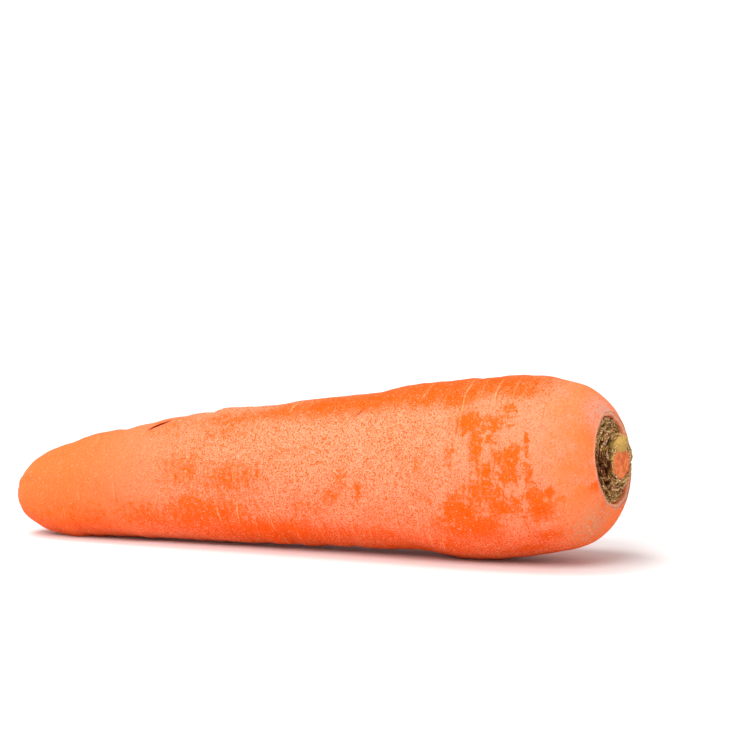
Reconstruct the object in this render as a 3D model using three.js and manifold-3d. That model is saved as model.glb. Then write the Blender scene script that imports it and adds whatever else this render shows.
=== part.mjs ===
// A whole carrot, topped and washed, lying on its side: the tapering root, and in the hollow of its
// crown the rosette of cut leaf stalks. Millimetres, +Z up, the tip towards -X and the crown towards +X.
import * as THREE from "three";
import { mergeVertices } from "three/addons/utils/BufferGeometryUtils.js";
import Module from "manifold-3d";

const wasm = await Module();
wasm.setup();

// Root: distances are measured along it from the tip, angles round it from the front, over the top.
const tipRadius = 10.9; // of the cone that the blunt tip rounds off
const tipRounding = 30; // length of that rounding
const tipFullness = 4.1; // 2 is an ellipse, more is squarer
const taper = 0.0911; // the cone's gain in radius for each millimetre of length
const shoulderStart = 109; // where the shoulder starts to round off
const shoulderEnd = 162; // where its curve would meet the axis
const shoulderFullness = 2.83; // along the root
const shoulderSquareness = 3.29; // across the root
const rimRadius = 11.1; // crest of the rim round the crown's hollow
const rimRoll = 6; // how far outside the crest the shoulder's swellings have died away
const hollowRadius = 10.6;
const hollowDepth = 3.2;
const hollowEdge = 0.8; // rounding of the hollow's upper edge
const hollowCorner = 0.6; // and of its corner

// Middle of the root above the surface that it lies on, at a few distances from the tip.
const middleHeights = [
  [0, 10.5],
  [13, 11.8],
  [28, 13.6],
  [58, 16.8],
  [100, 20.6],
  [130, 22.6],
  [163, 26.1],
];
const bowBack = 2; // the middle bends this far to the back of the two ends
const crownPitch = 0.118; // slope by which the crown looks up
const crownYaw = 0.085; // and to the front
const leanSpan = [118, 158]; // stretch of the root over which that lean comes in

const around = 48; // facets round the root
const ringSpacing = 2.2;

// Gentle swellings (rise above 0) and waists: where along and round, how high, how long, half the arc.
const swells = [
  { at: 17, angle: 270, rise: 0.6, length: 7, arc: 50 },
  { at: 24, angle: 95, rise: 0.8, length: 9, arc: 70 },
  { at: 26, angle: 275, rise: -0.2, length: 4, arc: 60 },
  { at: 30, angle: 100, rise: -0.5, length: 2.8, arc: 60 },
  { at: 47, angle: 80, rise: 1.45, length: 16, arc: 120 },
  { at: 60, angle: 95, rise: 0.5, length: 6, arc: 70 },
  { at: 62, angle: 275, rise: 0.3, length: 18, arc: 70 },
  { at: 74, angle: 185, rise: 0.5, length: 15, arc: 100 },
  { at: 97, angle: 85, rise: -0.8, length: 7, arc: 120 },
  { at: 101, angle: 275, rise: -0.35, length: 14, arc: 80 },
  { at: 113, angle: 272, rise: -0.9, length: 6, arc: 60 },
  { at: 121, angle: 195, rise: -0.5, length: 9, arc: 80 },
  { at: 127, angle: 271, rise: 0.6, length: 9, arc: 60 },
  { at: 148, angle: 100, rise: -0.2, length: 7, arc: 80 },
  { at: 154, angle: 285, rise: 0.85, length: 8, arc: 80 },
];

// Growth creases run part of the way round the root, a little aslant.
const creaseCount = 34;
const creaseSpan = [9, 148];
const creaseDepth = [0.16, 0.44];
const creaseArc = [20, 75];
const creaseWidth = 1.7;
const creaseSlant = 1.8;

// Rosette of cut leaf stalks, measured up from the floor of the hollow.
const seatGap = 0.3;
const plateRadius = 9.6;
const plateEdge = 1; // height of the stem plate's edge
const plateRise = 2.2; // of its dome, under the stalks
const plateFacets = 36;
const coreRadius = 3.7; // cut face of the short stem
const coreFlare = 0.9;
const coreFacets = 20;
const coreBelow = 1.3; // the stem stands this far below the middle of the crown
const cutHeight = 4.1; // of the knife cut, over the middle
const cutTilt = 9; // degrees that the cut leans towards the front
const stalkRoot = 0.7; // the stalks grow from this far above the floor
const stalkSoftness = 0.25; // rounding of a stalk's edges
const stalkHollow = [0.72, 0.35]; // the crescent's inner curve, as shares of its width and thickness
const stalkSizes = [0.86, 1.12]; // smallest and largest, as shares of the whorl's own
const stalkJitter = 5; // degrees that a stalk may stand aside
const whorls = [
  { stalks: 11, ring: 8.2, width: 4.6, thickness: 1.4, height: 1.7, lean: 26, turn: 0 },
  { stalks: 8, ring: 6.8, width: 4.4, thickness: 1.4, height: 2.8, lean: 18, turn: 21 },
  { stalks: 5, ring: 5.2, width: 4.8, thickness: 1.3, height: 5, lean: 8, turn: 47 },
];
// Rounded base of the last leaf: how far over the middle and to the back, half sizes, middle's height.
const bud = { above: 3.5, aside: 0.6, size: [2.4, 3.8, 1.9], height: 2.2, facets: [18, 10] };

const orangeSkin = new THREE.MeshStandardMaterial({ color: 0xf07030, roughness: 0.6, metalness: 0 });
const driedStalk = new THREE.MeshStandardMaterial({ color: 0x8a7434, roughness: 0.85, metalness: 0 });

const { clamp, degToRad, euclideanModulo, lerp, radToDeg, smoothstep } = THREE.MathUtils;
const quarter = Math.PI / 2;

// An even scatter without random draws: the i-th of a run of steps, kept within 0 and 1.
const stepAt = 0.618034;
const stepAngle = 0.754878;
const stepDepth = 0.56984;
const stepArc = 0.3819;
const stepSlant = 0.8191725;
const scatter = (i, step) => (i * step) % 1;

const creases = Array.from({ length: creaseCount }, (_, i) => ({
  at: lerp(...creaseSpan, scatter(i + 1, stepAt)),
  angle: 360 * scatter(i + 1, stepAngle),
  depth: lerp(...creaseDepth, scatter(i + 1, stepDepth)),
  arc: lerp(...creaseArc, scatter(i + 1, stepArc)),
  slant: lerp(-creaseSlant, creaseSlant, scatter(i + 1, stepSlant)),
}));

// Falls from 1 at an angle to 0 at an arc to either side of it, in degrees.
function arcFade(angle, middle, arc) {
  const away = Math.abs(euclideanModulo(angle - middle + 180, 360) - 180);
  return Math.cos(quarter * clamp(away / arc, 0, 1)) ** 2;
}

const bell = (away, width) => Math.exp(-((away / width) ** 2));

// How far the skin stands above the plain root at a place.
function relief(at, angle) {
  let rise = 0;
  for (const swell of swells) {
    rise += swell.rise * bell(at - swell.at, swell.length) * arcFade(angle, swell.angle, swell.arc);
  }
  for (const crease of creases) {
    const across = at - crease.at - crease.slant * Math.sin(degToRad(angle - crease.angle));
    rise -= crease.depth * bell(across, creaseWidth) * arcFade(angle, crease.angle, crease.arc);
  }
  return rise;
}

// Radius of the plain root, before its swellings: a cone with a rounded tip and a squarish shoulder.
function bodyRadius(at) {
  const toTip = 1 - clamp(at / tipRounding, 0, 1);
  const tip = Math.sqrt(1 - toTip ** tipFullness);
  const over = clamp((at - shoulderStart) / (shoulderEnd - shoulderStart), 0, 1);
  const shoulder = (1 - over ** shoulderFullness) ** (1 / shoulderSquareness);
  return (tipRadius + taper * at) * tip * shoulder;
}

// Smooth line through stations: cubic pieces, with each slope averaged from its two sides.
function smoothThrough(stations, at) {
  const last = stations.length - 1;
  const rise = (i) => (stations[i + 1][1] - stations[i][1]) / (stations[i + 1][0] - stations[i][0]);
  const slope = (i) => {
    if (i === 0) return rise(0);
    if (i === last) return rise(last - 1);
    const before = stations[i][0] - stations[i - 1][0];
    const after = stations[i + 1][0] - stations[i][0];
    return (rise(i - 1) * after + rise(i) * before) / (before + after);
  };
  const next = stations.findIndex(([end], i) => i > 0 && (at <= end || i === last));
  const [start, low] = stations[next - 1];
  const [end, high] = stations[next];
  const length = end - start;
  const t = (at - start) / length;
  const ends = low * (1 + 2 * t) * (1 - t) ** 2 + high * t * t * (3 - 2 * t);
  const slopes = slope(next - 1) * t * (1 - t) ** 2 - slope(next) * t * t * (1 - t);
  return ends + length * slopes;
}

function middleAt(at) {
  const along = at / shoulderEnd;
  return new THREE.Vector3(at, 4 * bowBack * along * (1 - along), smoothThrough(middleHeights, at));
}

// Half outline of the root, from the tip over the shoulder and the rim into the hollow, as (radius, at).
function rootOutline() {
  const points = [];
  const tipSteps = 14;
  const shoulderSteps = 60;
  const add = (at) => points.push(new THREE.Vector2(bodyRadius(at), at));
  for (let i = 0; i < tipSteps; i++) add(tipRounding * (1 - Math.cos((quarter * i) / tipSteps)));
  for (let at = tipRounding; at < shoulderStart; at += ringSpacing) add(at);
  for (let i = 0; i < shoulderSteps; i++) {
    const at = lerp(shoulderStart, shoulderEnd, Math.sin((quarter * i) / shoulderSteps));
    if (bodyRadius(at) < rimRadius) break;
    add(at);
  }
  const rimAt = points.at(-1).y;
  const floorAt = rimAt - hollowDepth;
  points.push(
    new THREE.Vector2((rimRadius + hollowRadius) / 2, rimAt - hollowEdge / 8),
    new THREE.Vector2(hollowRadius, rimAt - hollowEdge),
    new THREE.Vector2(hollowRadius - hollowCorner / 6, floorAt + hollowCorner),
    new THREE.Vector2(hollowRadius - hollowCorner, floorAt),
  );
  const skin = new THREE.SplineCurve(points);
  const spaced = skin.getSpacedPoints(Math.round(skin.getLength() / ringSpacing));
  spaced[0].x = 0;
  return { outline: [...spaced, new THREE.Vector2(0, floorAt)], floorAt };
}

// The lathed root lies along +X; each point is then swollen or creased, and carried onto the middle line.
function growRoot(outline) {
  const geometry = new THREE.LatheGeometry(outline, around).rotateZ(-quarter);
  const place = geometry.attributes.position;
  for (let i = 0; i < place.count; i++) {
    const at = place.getX(i);
    const radius = Math.hypot(place.getY(i), place.getZ(i));
    const angle = Math.atan2(place.getZ(i), -place.getY(i));
    const fadeSpan = at > shoulderStart ? [rimRadius, rimRadius + rimRoll] : [0, tipRadius / 2];
    const skinRadius = radius + smoothstep(radius, ...fadeSpan) * relief(at, radToDeg(angle));
    const back = -skinRadius * Math.cos(angle);
    const up = skinRadius * Math.sin(angle);
    const lean = smoothstep(at, ...leanSpan) * (crownYaw * back - crownPitch * up);
    const middle = middleAt(at);
    place.setXYZ(i, at + lean, middle.y + back, Math.max(0, middle.z + up)); // flat spots where it rests
  }
  return geometry;
}

// A closed geometry as a solid that can be joined and cut, and back again.
function solidOf(geometry) {
  const bare = geometry.index ? geometry.toNonIndexed() : geometry.clone();
  bare.deleteAttribute("normal");
  bare.deleteAttribute("uv");
  const merged = mergeVertices(bare, 1e-4);
  return new wasm.Manifold(
    new wasm.Mesh({
      numProp: 3,
      vertProperties: merged.attributes.position.array,
      triVerts: new Uint32Array(merged.index.array),
    }),
  );
}

function geometryOf(solid) {
  const { vertProperties, triVerts } = solid.getMesh();
  const geometry = new THREE.BufferGeometry();
  geometry.setAttribute("position", new THREE.BufferAttribute(vertProperties, 3));
  geometry.setIndex(new THREE.BufferAttribute(triVerts, 1));
  geometry.computeVertexNormals();
  return geometry;
}

// Dome of the short stem, standing on its flat underside at the origin, +Z towards the cut.
function stemPlate() {
  const shares = [0.75, 0.5, 0.25];
  const outline = [
    new THREE.Vector2(0, 0),
    new THREE.Vector2(plateRadius - plateEdge, 0),
    new THREE.Vector2(plateRadius, plateEdge),
    ...shares.map((share) => new THREE.Vector2(plateRadius * share, lerp(plateRise, plateEdge, share ** 2))),
    new THREE.Vector2(0, plateRise),
  ];
  return new THREE.LatheGeometry(outline, plateFacets).rotateX(quarter);
}

// The stem, taller than the cut, which trims it. In the rosette +X is down, and +Y the back.
function stemCore() {
  const height = 2 * cutHeight;
  return new THREE.CylinderGeometry(coreRadius, coreRadius + coreFlare, height, coreFacets)
    .rotateX(quarter)
    .translate(coreBelow, 0, height / 2 + stalkRoot);
}

// The rounded base of the last leaf, grown shut over the stem.
function leafBud() {
  return new THREE.SphereGeometry(1, ...bud.facets)
    .scale(...bud.size)
    .translate(-bud.above, bud.aside, bud.height);
}

// One stalk base: a crescent that clasps the middle, leaning inwards.
function stalkBase({ width, thickness, height, lean, ring }, turn) {
  const [innerWidth, innerThickness] = stalkHollow;
  const section = new THREE.Shape();
  section.absellipse(0, 0, width / 2, thickness, Math.PI, 2 * Math.PI, false);
  section.absellipse(0, 0, (width / 2) * innerWidth, thickness * innerThickness, 2 * Math.PI, Math.PI, true);
  return new THREE.ExtrudeGeometry(section, {
    depth: height,
    curveSegments: 4,
    bevelThickness: stalkSoftness,
    bevelSize: stalkSoftness,
    bevelSegments: 1,
  })
    .rotateX(-degToRad(lean))
    .translate(0, -ring, stalkRoot)
    .rotateZ(degToRad(turn));
}

function stalkRosette() {
  let rosette = solidOf(stemPlate()).add(solidOf(stemCore())).add(solidOf(leafBud()));
  for (const whorl of whorls) {
    for (let i = 0; i < whorl.stalks; i++) {
      const size = lerp(...stalkSizes, scatter(i + whorl.ring, stepAt));
      const stalk = { ...whorl, width: whorl.width * size, height: whorl.height * size };
      const jitter = lerp(-stalkJitter, stalkJitter, scatter(i + whorl.ring, stepAngle));
      rosette = rosette.add(solidOf(stalkBase(stalk, whorl.turn + jitter + (360 * i) / whorl.stalks)));
    }
  }
  const knifeSize = 40;
  const knife = new THREE.BoxGeometry(knifeSize, knifeSize, knifeSize)
    .translate(0, 0, knifeSize / 2)
    .rotateX(degToRad(cutTilt))
    .translate(0, 0, cutHeight);
  // The largest body alone: a hollow that the stalks seal is a body of its own, and so is a loose scrap.
  const bodies = rosette.subtract(solidOf(knife)).decompose();
  bodies.sort((a, b) => b.volume() - a.volume());
  return geometryOf(bodies[0]);
}

const { outline, floorAt } = rootOutline();
const root = new THREE.Mesh(growRoot(outline), orangeSkin);
root.name = "root";

// The rosette stands square on the hollow's floor, which looks up and to the front with the crown.
const crownAxis = new THREE.Vector3(1, -crownYaw, crownPitch).normalize();
const stalks = new THREE.Mesh(stalkRosette(), driedStalk);
stalks.name = "leaf_stalk_stubs";
stalks.quaternion.setFromUnitVectors(new THREE.Vector3(0, 0, 1), crownAxis);
stalks.position.copy(middleAt(floorAt)).addScaledVector(crownAxis, seatGap);

// The origin is under the middle of the carrot, on the surface that it lies on.
const carrot = new THREE.Group();
carrot.add(root, stalks);
const box = new THREE.Box3().setFromObject(carrot, true);
const centre = box.getCenter(new THREE.Vector3());
carrot.position.set(-centre.x, -centre.y, -box.min.z);

export default carrot;
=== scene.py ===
import math
import random

import bmesh
import bpy
import numpy as np
from mathutils import Matrix, Vector, noise


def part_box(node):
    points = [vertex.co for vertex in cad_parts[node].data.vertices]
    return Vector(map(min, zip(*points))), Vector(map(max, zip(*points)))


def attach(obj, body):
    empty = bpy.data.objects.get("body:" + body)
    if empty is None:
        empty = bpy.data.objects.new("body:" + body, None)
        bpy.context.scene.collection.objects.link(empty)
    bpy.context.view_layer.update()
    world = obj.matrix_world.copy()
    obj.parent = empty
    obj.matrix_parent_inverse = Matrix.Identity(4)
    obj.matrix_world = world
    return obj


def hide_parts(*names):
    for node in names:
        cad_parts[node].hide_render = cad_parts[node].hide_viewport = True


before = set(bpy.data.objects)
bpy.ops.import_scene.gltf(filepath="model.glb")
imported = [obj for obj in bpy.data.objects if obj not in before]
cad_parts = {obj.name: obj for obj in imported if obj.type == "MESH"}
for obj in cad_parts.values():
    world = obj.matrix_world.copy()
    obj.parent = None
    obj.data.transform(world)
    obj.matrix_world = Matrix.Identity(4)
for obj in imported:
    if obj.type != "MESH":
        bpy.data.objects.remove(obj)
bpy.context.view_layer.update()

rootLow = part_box("root")[0]
mm = 0.001
print("frame loaded")


# Shader maths: a wire is a socket that can be added, multiplied and so on
class Wire:
    def __init__(self, paint, socket):
        self.paint = paint
        self.socket = socket

    def maths(self, operation, first, second):
        return self.paint.node("Math", {"operation": operation}, {0: first, 1: second})

    def __add__(self, other):
        return self.maths("ADD", self, other)

    def __sub__(self, other):
        return self.maths("SUBTRACT", self, other)

    def __rsub__(self, other):
        return self.maths("SUBTRACT", other, self)

    def __mul__(self, other):
        return self.maths("MULTIPLY", self, other)

    def size(self):
        return self.maths("ABSOLUTE", self, 0.0)

    __radd__ = __add__
    __rmul__ = __mul__


class Paint:
    def __init__(self, name):
        self.material = bpy.data.materials.new(name)
        self.material.use_nodes = True
        self.tree = self.material.node_tree
        self.tree.nodes.clear()
        self.coordinates = self.node("TexCoord", out="Object")

    def node(self, kind, settings=None, sockets=None, out=0):
        made = self.tree.nodes.new("ShaderNode" + kind)
        for key, value in (settings or {}).items():
            setattr(made, key, value)
        for key, value in (sockets or {}).items():
            if isinstance(value, Wire):
                self.tree.links.new(value.socket, made.inputs[key])
            else:
                made.inputs[key].default_value = value
        return Wire(self, made.outputs[out]) if len(made.outputs) else None

    def noise(self, perMm, stretch, detail, roughness):    # about zero, in waves per millimetre
        scale = [perMm / mm * share for share in stretch]
        place = self.node("VectorMath", {"operation": "MULTIPLY"}, {0: self.coordinates, 1: scale})
        sockets = {"Vector": place, "Scale": 1.0, "Detail": detail, "Roughness": roughness}
        return self.node("TexNoise", {}, sockets) - 0.5

    def step(self, value, low, high):    # 0 below low, 1 above high, smooth between
        sockets = {"Value": value, "From Min": low, "From Max": high, "To Min": 0.0, "To Max": 1.0}
        return self.node("MapRange", {"interpolation_type": "SMOOTHSTEP"}, sockets)

    def attribute(self, name):
        return self.node("Attribute", {"attribute_name": name}, out="Fac")

    def mix(self, factor, first, second):
        return self.node("Mix", {"data_type": "RGBA"}, {0: factor, 6: first, 7: second}, out=2)

    def bump(self, height, distance, strength):    # distance in millimetres
        return self.node("Bump", {}, {"Height": height, "Distance": distance * mm, "Strength": strength})

    def finish(self, color, roughness, normal=None, **plain):
        sockets = {"Base Color": color, "Roughness": roughness}
        if normal:
            sockets["Normal"] = normal
        sockets.update({key.replace("_", " "): value for key, value in plain.items()})
        surface = self.node("BsdfPrincipled", {}, sockets)
        self.node("OutputMaterial", {}, {"Surface": surface})
        return self.material


def rgb(red, green, blue):    # 0 to 255 as seen on a screen, to the linear colour that sockets take
    def linear(value):
        share = value / 255
        return share / 12.92 if share <= 0.04045 else ((share + 0.055) / 1.055) ** 2.4
    return (linear(red), linear(green), linear(blue), 1.0)


def smooth(value, low, high):
    share = np.clip((value - low) / (high - low), 0, 1)
    return share * share * (3 - 2 * share)


def bell(away, width):
    return np.exp(-(away / width) ** 2)


def turned(angle, middle):    # degrees from the middle, -180 to 180
    return (angle - middle + 180) % 360 - 180


def arcFade(angle, middle, arc):
    return np.cos(np.pi / 2 * np.clip(np.abs(turned(angle, middle)) / arc, 0, 1)) ** 2


def ripples(rows, angle):    # waves round the root: height, turns and phase of each
    return sum(height * np.sin(np.radians(turns * angle + phase)) for height, turns, phase in rows)


def scatter(i, step):    # an even scatter between 0 and 1
    return (i * step) % 1


def lerp(low, high, share):
    return low + (high - low) * share


def placed(name, sketch):    # a finished mesh as an object at the origin
    mesh = bpy.data.meshes.new(name)
    sketch.to_mesh(mesh)
    sketch.free()
    made = bpy.data.objects.new(name, mesh)
    bpy.context.scene.collection.objects.link(made)
    return made


# The camera, the light and the floor
def lookFrom(azimuth, elevation, distance, target):
    a, e = math.radians(azimuth), math.radians(elevation)
    back = Vector((math.sin(a) * math.cos(e), -math.cos(a) * math.cos(e), math.sin(e)))
    return Vector(target) + distance * back, back.to_track_quat("Z", "Y")


def stand(thing, place, turn):
    thing.location = place
    thing.rotation_mode = "QUATERNION"
    thing.rotation_quaternion = turn
    bpy.context.scene.collection.objects.link(thing)


camera = {
    "azimuth": 21.0, "elevation": 5.18, "distance": 0.7, "lens": 135.5, "sensor": 36.0, "nearest": 0.01,
    "fromTip": 0.0991, "toBack": -0.00124, "up": 0.04433,    # the point it looks at
}
cameraData = bpy.data.cameras.new("camera")
cameraData.lens = camera["lens"]
cameraData.sensor_width = camera["sensor"]
cameraData.clip_start = camera["nearest"]
cameraObject = bpy.data.objects.new("camera", cameraData)
lookAt = (rootLow.x + camera["fromTip"], camera["toBack"], camera["up"])
stand(cameraObject, *lookFrom(camera["azimuth"], camera["elevation"], camera["distance"], lookAt))
bpy.context.scene.camera = cameraObject

lights = [
    {"name": "overhead", "azimuth": -78, "elevation": 70, "softness": 26, "strength": 1.45},
    {"name": "front", "azimuth": -8, "elevation": 46, "softness": 40, "strength": 2.2},
]
for light in lights:
    data = bpy.data.lights.new(light["name"], "SUN")
    data.angle = math.radians(light["softness"])
    data.energy = light["strength"]
    lamp = bpy.data.objects.new(light["name"], data)
    stand(lamp, *lookFrom(light["azimuth"], light["elevation"], camera["distance"], lookAt))

surroundings = {"low": 1.25, "high": 0.68, "blend": (0.05, 0.2)}    # brightness near the horizon and above
world = bpy.data.worlds.new("surroundings")
world.use_nodes = True
nodes, links = world.node_tree.nodes, world.node_tree.links
direction = nodes.new("ShaderNodeTexCoord")
parts = nodes.new("ShaderNodeSeparateXYZ")
blend = nodes.new("ShaderNodeMapRange")
links.new(direction.outputs["Generated"], parts.inputs[0])
links.new(parts.outputs["Z"], blend.inputs["Value"])
blend.inputs["From Min"].default_value, blend.inputs["From Max"].default_value = surroundings["blend"]
blend.inputs["To Min"].default_value = surroundings["low"]
blend.inputs["To Max"].default_value = surroundings["high"]
links.new(blend.outputs[0], nodes["Background"].inputs["Strength"])
nodes["Background"].inputs["Color"].default_value = (1.0, 1.0, 1.0, 1.0)
bpy.context.scene.world = world
bpy.context.scene.view_settings.view_transform = "Standard"

floor = {"size": 80.0, "color": (0.8, 0.797, 0.793, 1.0), "roughness": 0.8, "shine": 0.2}
sketch = bmesh.new()
bmesh.ops.create_grid(sketch, x_segments=2, y_segments=2, size=floor["size"] / 2)
floorPiece = placed("floor", sketch)
floorPaint = Paint("pale_floor").finish(floor["color"], floor["roughness"], Specular_IOR_Level=floor["shine"])
floorPiece.data.materials.append(floorPaint)
print("camera, light and floor placed")


# The root's form, in millimetres: distances from the tip, angles round it from the front, over the top
root = {
    "tipRadius": 10.9, "tipRounding": 30.0, "tipFullness": 4.1, "taper": 0.0911,
    "shoulderStart": 109.0, "shoulderEnd": 162.0, "shoulderFullness": 2.83, "shoulderSquareness": 3.29,
    "rimRadius": 11.1, "rimRoll": 6.0, "rimWidth": 1.6,
    "rimWaves": [(0.12, 5, 40), (0.1, 11, 0), (0.07, 23, 70)],    # height, turns, phase
    "hollowRadius": 10.6, "hollowDepth": 3.2, "hollowEdge": 0.8,
    "hollowWall": [(1.2, 0.1), (0.3, 0.3), (0.0, 1.0), (0.0, 4.0)],    # above its floor, inside its radius
    "middleHeights": [(0, 10.5), (13, 11.8), (28, 13.6), (58, 16.8), (100, 20.6), (130, 22.6), (163, 26.1)],
    "bowBack": 2.0, "crownPitch": 0.118, "crownYaw": 0.085, "leanSpan": (118, 158),
    "tipRings": 20, "ringSpacing": 1.4, "shoulderRings": 60, "rollRings": 4, "around": 72, "cuts": 2,
}
swells = [    # at, angle, rise, length, half the arc
    (17, 270, 0.6, 7, 50), (24, 95, 0.8, 9, 70), (26, 275, -0.2, 4, 60), (30, 100, -0.5, 2.8, 60),
    (47, 80, 1.45, 16, 120), (60, 95, 0.5, 6, 70), (62, 275, 0.3, 18, 70), (74, 185, 0.5, 15, 100),
    (97, 85, -0.8, 7, 120), (101, 275, -0.35, 14, 80), (113, 272, -0.9, 6, 60), (121, 195, -0.5, 9, 80),
    (127, 271, 0.6, 9, 60), (148, 100, -0.2, 7, 80), (154, 285, 0.85, 8, 80),
]
creases = {
    "count": 34, "span": (9, 148), "depth": (0.16, 0.44), "arc": (20, 75), "width": 1.7, "slant": 1.8,
    "fineWidth": 0.5, "fineShare": 0.35,    # a sharper line in the middle of each
}


def creaseRows():
    for i in range(1, creases["count"] + 1):
        yield (
            lerp(*creases["span"], scatter(i, 0.618034)), 360 * scatter(i, 0.754878),
            lerp(*creases["depth"], scatter(i, 0.56984)), lerp(*creases["arc"], scatter(i, 0.3819)),
            lerp(-creases["slant"], creases["slant"], scatter(i, 0.8191725)),
        )


def bodyRadius(at):
    toTip = 1 - np.clip(at / root["tipRounding"], 0, 1)
    tip = np.sqrt(1 - toTip ** root["tipFullness"])
    over = np.clip((at - root["shoulderStart"]) / (root["shoulderEnd"] - root["shoulderStart"]), 0, 1)
    shoulder = (1 - over ** root["shoulderFullness"]) ** (1 / root["shoulderSquareness"])
    return (root["tipRadius"] + root["taper"] * at) * tip * shoulder


def smoothThrough(stations, at):    # cubic pieces, with each slope averaged from its two sides
    x, y = np.array(stations, float).T
    gap = np.diff(x)
    climb = np.diff(y) / gap
    slope = np.empty(len(x))
    slope[0], slope[-1] = climb[0], climb[-1]
    slope[1:-1] = (climb[:-1] * gap[1:] + climb[1:] * gap[:-1]) / (gap[1:] + gap[:-1])
    i = np.clip(np.searchsorted(x, at) - 1, 0, len(gap) - 1)
    t = (at - x[i]) / gap[i]
    ends = y[i] * (1 + 2 * t) * (1 - t) ** 2 + y[i + 1] * t * t * (3 - 2 * t)
    return ends + gap[i] * (slope[i] * t * (1 - t) ** 2 - slope[i + 1] * t * t * (1 - t))


def middleAt(at):
    along = at / root["shoulderEnd"]
    return 4 * root["bowBack"] * along * (1 - along), smoothThrough(root["middleHeights"], at)


# Pale scars that run round the skin: at, first and last angle, half width, how pale, slant over the arc
photoScars = [
    (62.1, 321, 340, 0.3, 1.0, 0.1), (62.3, 342, 366, 0.2, 0.6, 0.1), (67.4, 320, 350, 0.3, 0.9, 0.9),
    (66.8, 354, 376, 0.2, 0.5, 0.4), (76.2, 310, 338, 0.3, 0.9, -1.0), (78.8, 60, 84, 0.36, 1.0, 0.0),
    (84.6, -2, 14, 0.25, 0.6, 1.4), (91.6, 8, 34, 0.22, 0.6, 1.2), (98.4, 296, 334, 0.25, 0.9, 0.8),
    (100.6, 300, 330, 0.25, 0.7, 1.0), (102.6, 305, 328, 0.22, 0.6, 0.9),
    (110.8, 316, 342, 0.3, 0.9, 0.8), (116.4, 318, 338, 0.28, 0.8, 0.5),
    (118.9, 300, 336, 0.25, 0.8, 2.0), (121.6, 298, 316, 0.25, 0.7, 0.8), (115.0, 54, 80, 0.28, 0.8, 0.4),
    (126.9, 36, 84, 0.36, 1.0, -0.8), (135.8, 44, 80, 0.36, 0.9, -1.4), (149.7, 32, 54, 0.28, 0.7, 0.3),
    (44.0, 328, 350, 0.28, 0.6, 2.2), (33.0, 345, 372, 0.28, 0.4, 0.4), (131.0, 50, 84, 0.25, 0.6, -0.9),
    (140.5, 48, 82, 0.25, 0.6, -0.9), (143.6, 40, 78, 0.22, 0.5, -0.4), (146.6, 56, 84, 0.22, 0.5, 0.3),
    (71.5, 300, 332, 0.22, 0.5, 0.4), (87.5, 306, 336, 0.22, 0.5, 0.9), (93.5, 300, 326, 0.22, 0.6, 0.7),
    (156.4, 290, 312, 0.4, 0.6, 0.5),
]
scars = {
    "count": 190, "span": (7, 156), "arc": (4, 24), "width": (0.14, 0.3), "pale": (0.2, 0.8), "slant": 1.0,
    "height": 0.09, "seed": 7, "wobble": [(0.16, 7, 50), (0.08, 19, 90)], "reach": 1.4,
    "shownAt": 12, "shownArc": 70, "shownShare": 0.55,    # fainter where the rows above have their place
}


def scarRows():
    rows = [(at, (low + high) / 2, (high - low) / 2, width, pale, slant)
            for at, low, high, width, pale, slant in photoScars]
    draw = random.Random(scars["seed"])
    for i in range(scars["count"]):
        at = lerp(*scars["span"], draw.random())
        angle = draw.uniform(0, 360)
        arc = lerp(*scars["arc"], draw.random() ** 2)
        shown = abs(turned(angle, scars["shownAt"])) < scars["shownArc"]
        pale = lerp(*scars["pale"], draw.random() ** 1.5) * (scars["shownShare"] if shown else 1)
        width = lerp(*scars["width"], draw.random())
        rows.append((at, angle, arc, width, pale, draw.uniform(-1, 1) * scars["slant"]))
    return rows


# Soft waves all over the skin: whole turns round the root, so that they close on themselves
waves = {
    "count": 60, "height": 0.08, "share": (0.5, 1), "alongRate": (0.05, 1.5), "seed": 11,
    "slowRate": 0.5, "slowTurns": (1, 16), "fastTurns": (1, 7),
    "rateDamping": 3.2, "turnDamping": 0.12,
}


def waviness(at, angle):
    draw = random.Random(waves["seed"])
    lift = np.zeros_like(at)
    for i in range(waves["count"]):
        rate = lerp(*waves["alongRate"], draw.random() ** 1.6)
        turns = draw.randint(*waves["slowTurns" if rate < waves["slowRate"] else "fastTurns"])
        phase = draw.uniform(0, 2 * math.pi)
        damping = 1 + waves["rateDamping"] * rate + waves["turnDamping"] * turns
        height = waves["height"] / damping * draw.uniform(*waves["share"])
        lift += height * np.sin(rate * at + np.radians(turns * angle) + phase)
    return lift


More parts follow.
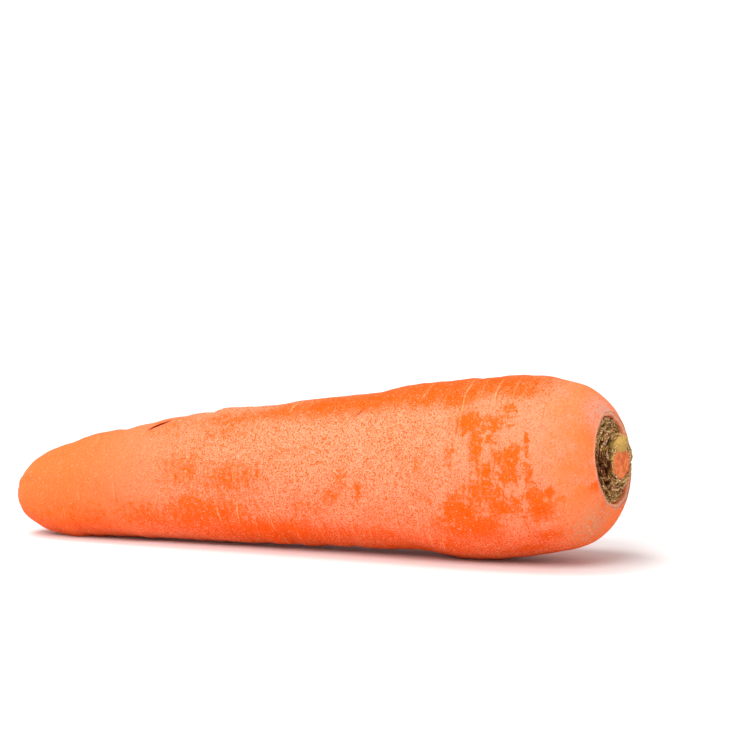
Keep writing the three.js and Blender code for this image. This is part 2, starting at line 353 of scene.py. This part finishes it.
# Where the pale dry bloom is rubbed off: at, angle, half length, half arc, how bare
photoBare = [
    (130.2, 35, 5.0, 9, 0.95), (137.5, 33, 5.4, 8, 0.85), (140.5, 41, 3.8, 7, 0.7),
    (141.5, 11, 4.5, 10, 0.9), (141.8, -1, 3.6, 7, 1.0), (133, 17, 2.2, 17, 0.85),
    (127, -13, 3.0, 7, 0.65), (129, -24, 6.0, 12, 1.1), (133, -34, 6.0, 10, 1.15),
    (135, -10, 7.0, 10, 0.9), (127.5, -37, 5.0, 8, 0.9), (139.5, -20, 5.6, 11, 0.85),
    (146.4, 21, 1.0, 16, 0.8), (147.0, -2, 1.4, 12, 0.95), (147.8, -16, 2.8, 9, 1.1),
    (148.6, -27, 3.6, 8, 1.3), (151.3, -15, 1.5, 4.5, 1.3), (153.2, -22, 1.6, 2.5, 0.9),
    (149, -48, 4.0, 4.5, 1.1), (141.3, -61, 3.8, 4, 1.1), (160.4, -24, 1.8, 7, 1.25),
    (161.1, -50, 1.3, 10, 1.0), (126, 15, 1.6, 12, 0.6), (137, 24, 2.6, 6, 0.65), (136, 3, 3.4, 6, 0.75),
    (122, -30, 3.0, 10, 0.6), (145, -30, 3.0, 10, 0.55), (124, -52, 5, 9, 0.55), (104, 70, 12, 14, 0.6),
    (88, 68, 9, 14, 0.5), (118, 74, 11, 13, 0.7), (134, 74, 11, 14, 0.8), (126, 58, 5, 10, 0.85),
    (142, 62, 5, 9, 0.6), (116, 60, 4, 8, 0.6), (61, 62, 11, 16, 0.6), (62, 44, 9, 12, 0.5),
    (45, 66, 8, 22, 0.5), (76, 66, 8, 12, 0.5), (56, -30, 18, 22, 0.85), (74, -48, 20, 18, 0.9),
    (94, -12, 3.0, 7, 0.62), (97, 0, 2.4, 10, 0.55), (101.5, -8, 2.0, 12, 0.5), (88, -22, 7, 9, 0.5),
    (66, 4, 12, 16, 0.6), (52, 14, 8, 22, 0.55), (110, -30, 12, 12, 0.36), (100, -46, 16, 12, 0.55),
    (20, -40, 26, 26, 0.75), (40, -34, 14, 22, 0.8), (80, 20, 10, 16, 0.2), (112, 30, 9, 14, 0.22),
    (118, 8, 5, 12, 0.34), (120, -16, 4, 9, 0.4),
]
bare = {
    "count": 46, "span": (8, 156), "angles": (92, 288), "length": (2, 13), "arc": (4, 18),
    "strength": (0.5, 1.2), "seed": 23, "fall": 0.85, "edge": 1.1,
}


def bareness(at, angle):
    rows = list(photoBare)
    draw = random.Random(bare["seed"])
    for i in range(bare["count"]):
        where = lerp(*bare["span"], draw.random())
        rows.append((where, draw.uniform(*bare["angles"]), lerp(*bare["length"], draw.random() ** 2),
                     lerp(*bare["arc"], draw.random()), lerp(*bare["strength"], draw.random())))
    field = np.zeros_like(at)
    for where, middle, length, arc, strength in rows:
        reach = ((at - where) / length) ** 2 + (turned(angle, middle) / arc) ** 2
        field = np.maximum(field, strength * np.exp(-bare["fall"] * reach ** bare["edge"]))
    return field


# Two slits where side roots have broken off, sunk in, with shade painted dark along them
slits = {
    "rows": [(42.0, 70, 8, 1.0), (98.9, 54, 5, 0.3)],    # at, angle, half the arc, half width
    "slant": 0.3, "depth": 0.5, "narrowing": 1.2,    # the slant is in millimetres along for each degree round
}


def rootProfile():
    tip = root["tipRounding"] * (1 - np.cos(np.linspace(0, np.pi / 2, root["tipRings"], endpoint=False)))
    straight = np.arange(root["tipRounding"], root["shoulderStart"], root["ringSpacing"])
    over = np.sin(np.pi / 2 * np.arange(root["shoulderRings"]) / root["shoulderRings"])
    shoulder = lerp(root["shoulderStart"], root["shoulderEnd"], over)
    shoulder = shoulder[bodyRadius(shoulder) >= root["rimRadius"]]
    skinAt = np.concatenate([tip, straight, shoulder])
    skinRadius = bodyRadius(skinAt)
    rimAt, rimRadius, inner = skinAt[-1], skinRadius[-1], root["hollowRadius"]
    floorAt = rimAt - root["hollowDepth"]
    roll = np.linspace(0, np.pi / 2, root["rollRings"] + 1)[1:]
    rollAt = rimAt - root["hollowEdge"] * (1 - np.cos(roll))
    rollRadius = rimRadius - (rimRadius - inner) * np.sin(roll)
    above, inside = np.array(root["hollowWall"]).T
    profileAt = np.concatenate([skinAt, rollAt, floorAt + above, [floorAt]])
    return profileAt, np.concatenate([skinRadius, rollRadius, inner - inside, [0]]), rimAt, floorAt


def spunRoot():
    profileAt, profileRadius, rimAt, floorAt = rootProfile()
    sketch = bmesh.new()
    verts = [sketch.verts.new((x * mm, -r * mm, 0)) for x, r in zip(profileAt, profileRadius)]
    edges = [sketch.edges.new(pair) for pair in zip(verts, verts[1:])]
    bmesh.ops.spin(sketch, geom=verts + edges, cent=(0, 0, 0), axis=(1, 0, 0), angle=2 * math.pi,
                   steps=root["around"], use_merge=True)
    bmesh.ops.remove_doubles(sketch, verts=sketch.verts, dist=1e-7)
    bmesh.ops.subdivide_edges(sketch, edges=sketch.edges, cuts=root["cuts"], use_grid_fill=True)
    bmesh.ops.recalc_face_normals(sketch, faces=sketch.faces)
    for face in sketch.faces:
        face.smooth = True
    return placed("carrot_skin", sketch), rimAt, floorAt


def readPoints(mesh):
    spots = np.empty(len(mesh.vertices) * 3, np.float32)
    mesh.vertices.foreach_get("co", spots)
    return spots.reshape(-1, 3).astype(float) / mm


def writePoints(mesh, spots):
    mesh.vertices.foreach_set("co", (spots * mm).astype(np.float32).ravel())
    mesh.update()


def keepValues(mesh, name, values):
    layer = mesh.attributes.new(name, "FLOAT", "POINT")
    layer.data.foreach_set("value", np.asarray(values, np.float32))


skin, rimAt, floorAt = spunRoot()
skinMesh = skin.data
spots = readPoints(skinMesh)
at = spots[:, 0]
radius = np.hypot(spots[:, 1], spots[:, 2])
angle = np.degrees(np.arctan2(spots[:, 2], -spots[:, 1])) % 360
nearCrown = at > root["shoulderStart"]
inHollow = nearCrown & (radius < root["rimRadius"] + 0.02)
onSkin = ~inHollow & (at < rimAt - 1e-4)
radius = np.where(onSkin, bodyRadius(at), radius)

rise = waviness(at, angle)
for where, middle, high, length, arc in swells:
    rise += high * bell(at - where, length) * arcFade(angle, middle, arc)
for where, middle, deep, arc, slant in creaseRows():
    across = at - where - slant * np.sin(np.radians(angle - middle))
    shape = bell(across, creases["width"]) + creases["fineShare"] * bell(across, creases["fineWidth"])
    rise -= deep * shape * arcFade(angle, middle, arc)

scarSide = np.full_like(at, 3.0)    # signed distance from the nearest scar, in half widths
scarPale = np.zeros_like(at)
for where, middle, arc, width, pale, slant in scarRows():
    away = turned(angle, middle)
    wobble = ripples([(size, turns, where * phase) for size, turns, phase in scars["wobble"]], away)
    across = at - where - slant * away / (2 * arc) - wobble
    near = (np.abs(across) < scars["reach"]) & (np.abs(away) < arc)
    fade = np.where(near, np.cos(np.pi / 2 * np.clip(np.abs(away) / arc, 0, 1)) ** 0.7, 0)
    lip = bell(across + width, width) - 1.3 * bell(across - 0.5 * width, width)    # a ridge beside a groove
    rise += fade * scars["height"] * pale * lip
    side = across / width
    closer = near & (np.abs(side) < np.abs(scarSide))
    scarSide = np.where(closer, side, scarSide)
    scarPale = np.where(closer, pale * fade, scarPale)

slitSide = np.full_like(at, 6.0)    # distance from the nearest slit's middle, in its half widths
for where, middle, arc, width in slits["rows"]:
    away = turned(angle, middle)
    across = at - where - slits["slant"] * away
    rise -= slits["depth"] * bell(across, width) * bell(away, arc)
    slitSide = np.minimum(slitSide, np.hypot(across / width, slits["narrowing"] * away / arc))

fade = np.where(nearCrown, smooth(radius, root["rimRadius"], root["rimRadius"] + root["rimRoll"]),
                smooth(radius, 0, root["tipRadius"] / 2))
onRim = np.where(nearCrown, bell(radius - root["rimRadius"], root["rimWidth"]), 0)
skinRadius = radius + fade * rise + onRim * ripples(root["rimWaves"], angle)
back = -skinRadius * np.cos(np.radians(angle))
up = skinRadius * np.sin(np.radians(angle))


def carried(at, back, up):    # from the straight root to where the middle line and the crown's lean take it
    lean = smooth(at, *root["leanSpan"]) * (root["crownYaw"] * back - root["crownPitch"] * up)
    middleBack, middleUp = middleAt(at)
    return np.stack([at + lean, middleBack + back, np.maximum(0, middleUp + up)], -1)


spots = carried(at, back, up)
shift = np.array([rootLow.x / mm, -(spots[:, 1].min() + spots[:, 1].max()) / 2, 0])
writePoints(skinMesh, spots + shift)

zones = {    # where each look comes in or goes out, in millimetres from the tip
    "tip": (16, 62), "grain": (30, 62), "grainEnds": (112, 142), "grainBelow": (20, 50), "roughTop": (60, 90),
    "roughTopEnds": (144, 156), "roughLow": (36, 70), "shoulder": (147, 158),
}
bands = {"low": (0.25, 0.95), "lowEdge": (0.45, 0.9), "top": (0.62, 0.95)}    # shares of the radius; the low band is the underside, where shade is painted into the colour
blemishAt = {"at": 157, "length": 5, "angle": 304, "arc": 38}
rimLook = {"width": 0.6, "greyStarts": 1.5, "greyWidth": 3.2, "greyAngle": 75, "greyArc": 55}
overhead = np.sin(np.radians(angle))
outside = radius - root["rimRadius"]
# the underside mask, which paints shade into the skin's colour
low = smooth(-overhead, *bands["low"])
blemish = bell(at - blemishAt["at"], blemishAt["length"])
blemish *= arcFade(angle, blemishAt["angle"], blemishAt["arc"])
grain = smooth(at, *zones["grain"]) * (1 - 0.75 * smooth(at, *zones["grainEnds"]))
grain += 0.8 * low * smooth(at, *zones["grainBelow"]) + 0.9 * blemish
roughTop = smooth(overhead, *bands["top"]) * smooth(at, *zones["roughTop"])
roughTop *= 1 - smooth(at, *zones["roughTopEnds"])
roughLow = smooth(-overhead, *bands["lowEdge"]) * smooth(at, *zones["roughLow"])
grey = bell(outside - rimLook["greyStarts"], rimLook["greyWidth"])
grey *= arcFade(angle, rimLook["greyAngle"], rimLook["greyArc"])
looks = {
    "bare": bareness(at, angle),
    "grain": np.clip(grain, 0, 1),
    "scarSide": scarSide,
    "scarPale": scarPale,
    "slit": slitSide,
    "low": low,
    "rough": np.clip(roughTop + roughLow, 0, 1),
    "blemish": blemish,
    "toTip": 1 - smooth(at, *zones["tip"]),
    "shoulder": smooth(at, *zones["shoulder"]) * smooth(radius, 9, 14),
    "rim": np.where(at > rimAt - 1, bell(outside - 0.1, rimLook["width"]), 0),
    "rimGrey": np.where(nearCrown, grey, 0),
    "hollow": inHollow,
}
for name, values in looks.items():
    keepValues(skinMesh, name, values)
print("root grown:", len(skinMesh.polygons), "faces")

skinLook = {
    "bloom": rgb(252, 138, 101), "dust": rgb(255, 166, 130), "pit": rgb(247, 86, 20),
    "bare": rgb(250, 92, 20), "barest": rgb(247, 80, 4), "tip": rgb(252, 101, 24),
    # the darker orange of the underside is painted shade
    "under": rgb(224, 82, 8), "scar": rgb(255, 166, 116),
    "shoulder": rgb(252, 118, 54), "rim": rgb(222, 176, 146), "rimGrey": rgb(198, 154, 136),
    "slit": rgb(90, 26, 8), "hollow": rgb(232, 112, 62), "blemish": rgb(212, 140, 102),
}
skinGrain = {    # waves per millimetre, their stretch along X, Y and Z, detail, roughness
    "fine": (2.6, (1.0, 0.42, 1.0), 1.5, 0.6), "medium": (0.7, (1.2, 1.0, 1.0), 4.0, 0.75),
    "broad": (0.16, (1.0, 1.0, 1.0), 3.0, 0.6), "streaks": (1.0, (1.5, 0.17, 0.17), 3.0, 0.65),
    "dots": (2.2, (1.0, 1.0, 1.0), 1.0, 0.5),
}


def paintSkin(paint, look, grains):
    toTip = paint.attribute("toTip")
    grain = paint.attribute("grain")
    low = paint.attribute("low")
    rough = paint.attribute("rough")
    fine, medium, broad, streaks, dots = [paint.noise(*grains[name]) for name in grains]
    ragged = medium * (2.3 - rough * 1.4) + streaks * 0.7 + broad * (0.4 - rough * 0.4)
    ragged = ragged + fine * (grain * 1.2 + rough * 3.2 + toTip * 0.6 + 0.8)
    field = paint.attribute("bare") * (0.88 - low * 0.4) + rough * (0.46 - low * 0.1) + ragged
    isBare = paint.step(field, 0.48 - toTip * 0.3, 0.53 + toTip * 0.3)
    isBarest = paint.step(field, 0.9, 1.15)
    # the bloom is a dust of fine grains, with the orange showing between them
    pits = (1.0 - paint.step(fine + medium * 0.3, -0.08, -0.03)) * (grain * 0.65 + 0.3)
    dust = paint.step(fine - medium * 0.2, 0.1, 0.16)
    bloom = paint.mix(dust * (grain * 0.5 + 0.1), look["bloom"], look["dust"])
    bloom = paint.mix(pits, bloom, look["pit"])
    color = paint.mix(isBarest, look["bare"], look["barest"])
    color = paint.mix(toTip * 0.85, color, paint.mix(isBare * 0.9, look["tip"], look["bare"]))
    # painted shade: the underside darkened
    color = paint.mix(low * 0.85, color, look["under"])
    color = paint.mix((1.0 - isBare) * (1.0 - toTip * 0.75), color, bloom)
    onShoulder = paint.attribute("shoulder") * paint.step(broad, -0.2, 0.1)
    color = paint.mix(onShoulder * 0.85, color, look["shoulder"])
    blemished = paint.attribute("blemish") * paint.step(medium + fine, -0.14, 0.02)
    color = paint.mix(blemished * 0.9, color, look["blemish"])
    speck = paint.step(dots + medium * 0.25, 0.15, 0.19)
    color = paint.mix(speck * (grain * 0.4 + 0.4), color, look["dust"])
    strokes = paint.step(fine + streaks * 0.6, 0.1, 0.2)
    color = paint.mix(strokes * toTip * 0.6, color, look["bloom"])
    side = paint.attribute("scarSide")
    pale = paint.attribute("scarPale")
    scar = (1.0 - paint.step(side.size(), 0.3, 1.0)) * pale * paint.step(medium + fine, -0.16, 0.1)
    color = paint.mix(scar * 0.85, color, look["scar"])
    shade = paint.step(side, 0.6, 1.1) * (1.0 - paint.step(side, 1.5, 2.4)) * pale
    color = paint.mix(shade * 0.55, color, look["bare"])
    grey = paint.attribute("rimGrey") * (0.2 + 0.8 * paint.step(fine + medium * 0.5, -0.06, 0.02))
    color = paint.mix(grey, color, look["rimGrey"])
    color = paint.mix(paint.attribute("hollow") * 0.9, color, look["hollow"])
    rim = paint.attribute("rim") * (0.5 + 0.5 * paint.step(medium + fine, -0.1, 0.06))
    color = paint.mix(rim, color, look["rim"])
    # painted shade: the slits darkened
    color = paint.mix(1.0 - paint.step(paint.attribute("slit"), 0.8, 1.6), color, look["slit"])
    height = fine * 0.6 + medium * 0.7 + streaks * 0.7 + scar * 0.5 + speck * 0.3 - isBare * 0.2 - pits * 0.2
    normal = paint.bump(height, 0.16, 0.8)
    return paint.finish(color, 0.65 - 0.12 * isBare, normal, Specular_IOR_Level=0.02, Subsurface_Weight=0.05,
                        Subsurface_Radius=(1.0, 0.3, 0.08), Subsurface_Scale=0.002)


skinMesh.materials.append(paintSkin(Paint("carrot_skin"), skinLook, skinGrain))
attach(skin, "root")
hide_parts("root")
print("root painted")


# The rosette of cut leaf stalks, in millimetres: +X is down, +Y the back and +Z out of the crown
rosette = {
    "seatGap": 0.3, "reach": 10.35, "cutHeight": 4.3, "cutTilt": 13.0,
    "plate": [    # its radius and height, from the seat outwards and over to the middle
        (9.2, 0), (10.4, 0.4), (10.5, 1.7), (10.2, 2.1), (9.6, 1.9), (9, 1.4), (7, 1.5), (4, 2), (0, 2.2),
    ],
    "plateSides": 110, "stalkRoot": 0.7, "stalkHollow": (0.72, 0.35), "stalkSizes": (0.86, 1.12),
    "stalkJitter": 5.0, "stalkSpare": (0.4, 0.2), "wall": 0.2, "recess": 0.35, "levels": 6,
    "roughness": 0.14, "seed": 5,
}
core = {
    "radius": 4.1, "flare": 0.9, "below": 1.6, "aside": 1.2, "sides": 80,
    "lobes": [(0.04, 5, 141.57), (0.02, 9, 90)], "grown": 4.6, "levels": 10,    # grown past the knife
}
whorls = [
    {"stalks": 15, "ring": 9.5, "width": 3.9, "thickness": 0.9, "height": 1.5, "lean": 22, "turn": 9},
    {"stalks": 11, "ring": 8.2, "width": 4.6, "thickness": 1.4, "height": 1.7, "lean": 26, "turn": 0},
    {"stalks": 8, "ring": 6.8, "width": 4.4, "thickness": 1.4, "height": 2.8, "lean": 18, "turn": 21},
    {"stalks": 5, "ring": 5.2, "width": 4.8, "thickness": 1.3, "height": 5.0, "lean": 8, "turn": 47},
]
bud = {"above": 3.3, "aside": 2.9, "size": (2.5, 4.0, 2.7), "height": 3.2}
petioles = [    # below the middle, to the back, height, radius, wall, degrees left open, towards (0 is down)
    (-1.9, -3.0, 4.2, 1.6, 0.6, 80, 180),
    (7.0, -0.8, 2.3, 1.3, 0.45, 0, 0),
    (-7.2, -0.6, 2.5, 1.1, 0.4, 60, 120),
    (-5.4, -4.4, 2.9, 1.0, 0.4, 90, 300),
    (5.2, 3.4, 3.7, 2.0, 0.45, 190, 215),
]
coreRings = [    # the cut face inwards from its bark: share of the radius, and how far sunk
    (0.94, 0.0), (0.87, 0.14), (0.79, 0.16), (0.68, 0.13), (0.55, 0.08), (0.38, 0.05), (0.2, 0.1),
]
crack = {"share": 0.87, "middle": 30, "arc": 62, "depth": 1.2}    # a split in the bark, below the cut face, with shade painted dark down it
flakes = {
    "count": 60, "ring": (6.0, 10.0), "half": 0.5, "width": (0.6, 1.6), "length": (0.8, 1.7),
    "height": (1.4, 2.3), "fall": (-1.8, -0.3), "tilt": (-0.7, 0.7), "lift": (0.2, 1.0), "thickness": 0.08,
}
fibres = {
    "count": 46, "ring": (5.2, 9.9), "length": (0.7, 1.6), "radii": (0.1, 0.03), "height": (1.7, 2.5),
    "fall": (-1.4, 0.4), "tilt": (-1.1, 1.1), "lift": (0.4, 1.0),
}


def knifeAt(y):
    return rosette["cutHeight"] + y * math.tan(math.radians(rosette["cutTilt"]))


def laid(turn, reach, height, fall, tilt=0.0):    # a place round the middle, tipped outwards and sideways
    return (Matrix.Rotation(turn, 4, "Z") @ Matrix.Translation((0, -reach, height))
            @ Matrix.Rotation(fall, 4, "X") @ Matrix.Rotation(tilt, 4, "Y"))


class Growth:    # a mesh that stalks are grown into
    def __init__(self):
        self.sketch = bmesh.new()
        layers = self.sketch.verts.layers.float
        self.kinds = {name: layers.new(name) for name in ("cut", "pith", "bud", "lift", "crack")}

    def mark(self, verts, kind, value=1.0):
        for vert in verts:
            vert[self.kinds[kind]] = value

    def raised(self, face, lift, share, centre=(0.0, 0.0, 0.0)):    # the face moved up on new sides
        within = not any(edge.is_boundary for edge in face.edges)
        grown = bmesh.ops.extrude_face_region(self.sketch, geom=[face])["geom"]
        top = next(item for item in grown if isinstance(item, bmesh.types.BMFace))
        if within:
            bmesh.ops.delete(self.sketch, geom=[face], context="FACES_ONLY")
        middle = Matrix.Translation(-Vector(centre))
        bmesh.ops.scale(self.sketch, verts=top.verts, vec=(share, share, share), space=middle)
        bmesh.ops.translate(self.sketch, verts=top.verts, vec=(0, 0, lift))
        return top

    def stub(self, outline, height, matrix, levels=rosette["levels"], taper=1.0):    # grown up to the knife
        made = [self.sketch.verts.new((x, y, 0)) for x, y in outline]
        face = self.sketch.faces.new(made)
        for level in range(levels):
            face = self.raised(face, height / levels, taper ** (1 / levels), (0, 0, height * level / levels))
            self.mark(face.verts, "lift", (level + 1) / levels)
            made += list(face.verts)
        bmesh.ops.transform(self.sketch, verts=made, matrix=matrix)
        for vert in made:
            vert.co.z = min(vert.co.z, knifeAt(vert.co.y))
            pressed = min(1.0, rosette["reach"] / math.hypot(vert.co.x, vert.co.y))
            vert.co.x *= pressed
            vert.co.y *= pressed
        return face

    def hollowed(self, face, wall, recess):    # a rim left standing round the pith
        for width, depth, kind in [(wall, 0.0, "lift"), (wall * 0.3, -recess, "pith")]:
            bmesh.ops.inset_region(self.sketch, faces=[face], thickness=width, depth=depth,
                                   use_even_offset=True)
            self.mark(face.verts, kind)


def arcPoints(width, thickness, turns):
    return [(width * math.cos(t), thickness * math.sin(t)) for t in turns]


def crescent(width, thickness):
    innerWidth, innerThickness = rosette["stalkHollow"]
    turns = [math.pi + math.pi * i / 14 for i in range(15)]
    inner = arcPoints(width / 2 * innerWidth, thickness * innerThickness, reversed(turns))
    return arcPoints(width / 2, thickness, turns) + inner


def openRing(radius, wall, opening, towards):    # a ring in section, open on one side
    start, end = math.radians(towards + opening / 2 + 4), math.radians(towards + 356 - opening / 2)
    turns = [lerp(start, end, i / 22) for i in range(23)]
    return arcPoints(radius, radius, turns) + arcPoints(radius - wall, radius - wall, reversed(turns))


def growPlate(growth):
    sketch = growth.sketch
    profile = rosette["plate"]
    verts = [sketch.verts.new((r, 0, z)) for r, z in profile]
    edges = [sketch.edges.new(pair) for pair in zip(verts, verts[1:])]
    bmesh.ops.subdivide_edges(sketch, edges=edges, cuts=3)
    bmesh.ops.spin(sketch, geom=sketch.verts[:] + sketch.edges[:], cent=(0, 0, 0), axis=(0, 0, 1),
                   angle=2 * math.pi, steps=rosette["plateSides"], use_merge=True)
    bmesh.ops.remove_doubles(sketch, verts=sketch.verts, dist=1e-5)
    edge = [edge for edge in sketch.edges if edge.is_boundary]
    bmesh.ops.contextual_create(sketch, geom=edge)
    for vert in sketch.verts:
        growth.mark([vert], "lift", min(1.0, max(0.0, (math.hypot(vert.co.x, vert.co.y) - 8.6) / 1.4)))


def growCore(growth):    # the stem, a little angular, with its cut face sunk inside its bark
    base = core["radius"] + core["flare"]
    outline = []
    for i in range(core["sides"]):
        t = 2 * math.pi * i / core["sides"]
        r = base * (1 + ripples(core["lobes"], math.degrees(t)))
        outline.append((r * math.cos(t), r * math.sin(t)))
    below, aside = core["below"], core["aside"]
    foot = Matrix.Translation((below, aside, rosette["stalkRoot"]))
    face = growth.stub(outline, core["grown"], foot, core["levels"], core["radius"] / base)
    reached = 1.0
    for share, sunk in coreRings:
        face = growth.raised(face, 0, share / reached, (below, aside, knifeAt(aside)))
        reached = share
        growth.mark(face.verts, "cut", 0.0 if sunk == 0.0 else 1.0)
        for vert in face.verts:
            away = math.degrees(math.atan2(vert.co.y - aside, vert.co.x - below)) - crack["middle"]
            torn = share == crack["share"] and abs(away) < crack["arc"]
            split = math.cos(math.pi / 2 * abs(away) / crack["arc"]) ** 0.5 if torn else 0
            vert.co.z = knifeAt(vert.co.y) - sunk - crack["depth"] * split
            growth.mark([vert], "crack", split)
    middle = bmesh.ops.poke(growth.sketch, faces=[face])["verts"]
    growth.mark(middle, "cut")


def growWhorls(growth):
    for whorl in whorls:
        for i in range(whorl["stalks"]):
            draw = i + whorl["ring"]
            size = lerp(*rosette["stalkSizes"], scatter(draw, 0.618034))
            jitter = lerp(-rosette["stalkJitter"], rosette["stalkJitter"], scatter(draw, 0.754878))
            turn = math.radians(whorl["turn"] + jitter + 360 * i / whorl["stalks"])
            foot = laid(turn, whorl["ring"], rosette["stalkRoot"], -math.radians(whorl["lean"]))
            spareWidth, spareThickness = rosette["stalkSpare"]
            outline = crescent(whorl["width"] * size + spareWidth, whorl["thickness"] + spareThickness)
            face = growth.stub(outline, whorl["height"] * size, foot)
            growth.hollowed(face, rosette["wall"], rosette["recess"])
    for below, toBack, height, radius, wall, opening, towards in petioles:
        foot = Matrix.Translation((below, toBack, rosette["stalkRoot"]))
        growth.stub(openRing(radius, wall, opening, towards), height - rosette["stalkRoot"], foot)


def growBud(growth):    # the last leaf's rounded base, grown shut over the stem
    ball = bmesh.ops.create_uvsphere(growth.sketch, u_segments=44, v_segments=26, radius=1.0)["verts"]
    bmesh.ops.scale(growth.sketch, verts=ball, vec=bud["size"])
    bmesh.ops.translate(growth.sketch, verts=ball, vec=(-bud["above"], bud["aside"], bud["height"]))
    growth.mark(ball, "bud")
    growth.mark(ball, "lift")


def growScraps(growth, draw):    # dry flakes and short fibres among the stalks
    for i in range(flakes["count"]):
        turn = draw.uniform(0, 2 * math.pi)
        reach = draw.uniform(*flakes["ring"])
        flake = bmesh.ops.create_grid(growth.sketch, x_segments=3, y_segments=4, size=flakes["half"])["verts"]
        for vert in flake:
            vert.co.z = 0.25 * math.sin(vert.co.x * 3) + 0.3 * vert.co.y * vert.co.y
        size = (draw.uniform(*flakes["width"]), draw.uniform(*flakes["length"]), 1, 1)
        where = [draw.uniform(*flakes[name]) for name in ("height", "fall", "tilt")]
        matrix = laid(turn, reach, *where) @ Matrix.Diagonal(size)
        bmesh.ops.transform(growth.sketch, verts=flake, matrix=matrix)
        growth.mark(flake, "lift", draw.uniform(*flakes["lift"]))
        faces = list({face for vert in flake for face in vert.link_faces})
        bmesh.ops.solidify(growth.sketch, geom=faces, thickness=flakes["thickness"])
    for i in range(fibres["count"]):
        turn = draw.uniform(0, 2 * math.pi)
        reach = draw.uniform(*fibres["ring"])
        thick, thin = fibres["radii"]
        fibre = bmesh.ops.create_cone(growth.sketch, cap_ends=True, segments=5, radius1=thick, radius2=thin,
                                      depth=draw.uniform(*fibres["length"]))["verts"]
        where = [draw.uniform(*fibres[name]) for name in ("height", "fall", "tilt")]
        bmesh.ops.transform(growth.sketch, verts=fibre, matrix=laid(turn, reach, *where))
        growth.mark(fibre, "lift", draw.uniform(*fibres["lift"]))


def growRosette():
    noise.seed_set(rosette["seed"])
    growth = Growth()
    growPlate(growth)
    growCore(growth)
    growWhorls(growth)
    growBud(growth)
    growScraps(growth, random.Random(rosette["seed"]))
    sketch = growth.sketch
    calm = [growth.kinds["cut"], growth.kinds["bud"]]
    shade = sketch.verts.layers.float.new("shade")    # painted shade, darkest at the front of the ring
    for vert in sketch.verts:
        vert[shade] = math.exp(-((vert.co.x - 0.5) / 5.5) ** 2 - ((vert.co.y + 7.5) / 4.0) ** 2)
        rough = rosette["roughness"] * (0.3 if any(vert[layer] for layer in calm) else 1.0)
        vert.co += rough * (noise.noise_vector(vert.co * 1.1) + 0.6 * noise.noise_vector(vert.co * 2.7))
        vert.co.z = max(vert.co.z, 0.0)
    bmesh.ops.recalc_face_normals(sketch, faces=sketch.faces)
    axis = Vector((1, -root["crownYaw"], root["crownPitch"])).normalized()
    seat = Vector((floorAt, *map(float, middleAt(floorAt)))) + Vector(shift) + rosette["seatGap"] * axis
    leaning = Vector((0, 0, 1)).rotation_difference(axis).to_matrix().to_4x4()
    seated = Matrix.Scale(mm, 4) @ Matrix.Translation(seat) @ leaning
    bmesh.ops.transform(sketch, verts=sketch.verts, matrix=seated)
    for face in sketch.faces:
        face.smooth = True
    return placed("stalk_rosette", sketch)


rosettePiece = growRosette()
print("rosette grown:", len(rosettePiece.data.polygons), "faces")

rosetteLook = {
    "dark": rgb(76, 36, 14), "brown": rgb(120, 68, 28), "olive": rgb(146, 108, 46),
    "khaki": rgb(192, 152, 78), "pale": rgb(234, 196, 164), "pith": rgb(150, 76, 38),
    "cut": rgb(230, 126, 76), "cutDark": rgb(206, 98, 54), "cutSpot": rgb(240, 156, 48),
}
rosetteGrain = {
    "grit": (2.2, (1.0, 1.0, 1.0), 2.0, 0.7), "patches": (0.6, (1.0, 1.0, 1.0), 3.0, 0.6),
    "fibres": (1.0, (0.4, 2.2, 2.2), 3.0, 0.6),
}


def paintRosette(paint, look, grains):
    grit, patches, fibres = [paint.noise(*grains[name]) for name in grains]
    # painted shade at the front of the ring from the shade attribute; also darker low down among the stalks
    lift = paint.attribute("lift") - paint.attribute("shade") * 0.55
    color = paint.mix(paint.step(lift + patches * 1.6, 0.1, 0.6), look["dark"], look["brown"])
    color = paint.mix(paint.step(lift * 0.6 + patches + fibres, 0.22, 0.42), color, look["olive"])
    dry = paint.step(lift * 0.6 + patches * 1.2 + fibres * 0.8 + grit * 1.2, 0.5, 0.62)
    color = paint.mix(dry, color, look["khaki"])
    color = paint.mix(paint.step(grit + fibres * 0.7 + lift * 0.14, 0.17, 0.23), color, look["pale"])
    color = paint.mix((1.0 - paint.step(grit + patches * 0.5, -0.2, -0.12)) * 0.8, color, look["dark"])
    color = paint.mix(paint.attribute("pith") * 0.7, color, look["pith"])
    onBud = paint.attribute("bud") * (0.5 + 0.45 * paint.step(patches + grit * 0.5, -0.12, 0.05))
    color = paint.mix(onBud, color, look["khaki"])
    cut = paint.attribute("cut")
    cutColor = paint.mix(paint.step(patches + grit * 0.5, -0.14, 0.1), look["cutDark"], look["cut"])
    cutColor = paint.mix(paint.step(grit, 0.12, 0.2) * 0.7, cutColor, look["cutSpot"])
    color = paint.mix(paint.step(cut + patches * 0.6, 0.5, 0.7), color, cutColor)
    # painted shade down the split in the bark
    color = paint.mix(paint.step(paint.attribute("crack"), 0.4, 0.8), color, look["dark"])
    normal = paint.bump(grit * 0.6 + fibres * 0.8 + patches * 0.4, 0.3, 0.8)
    return paint.finish(color, 0.85, normal, Specular_IOR_Level=0.12)


rosettePiece.data.materials.append(paintRosette(Paint("stalk_rosette"), rosetteLook, rosetteGrain))
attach(rosettePiece, "root")
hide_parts("leaf_stalk_stubs")
print("rosette painted")
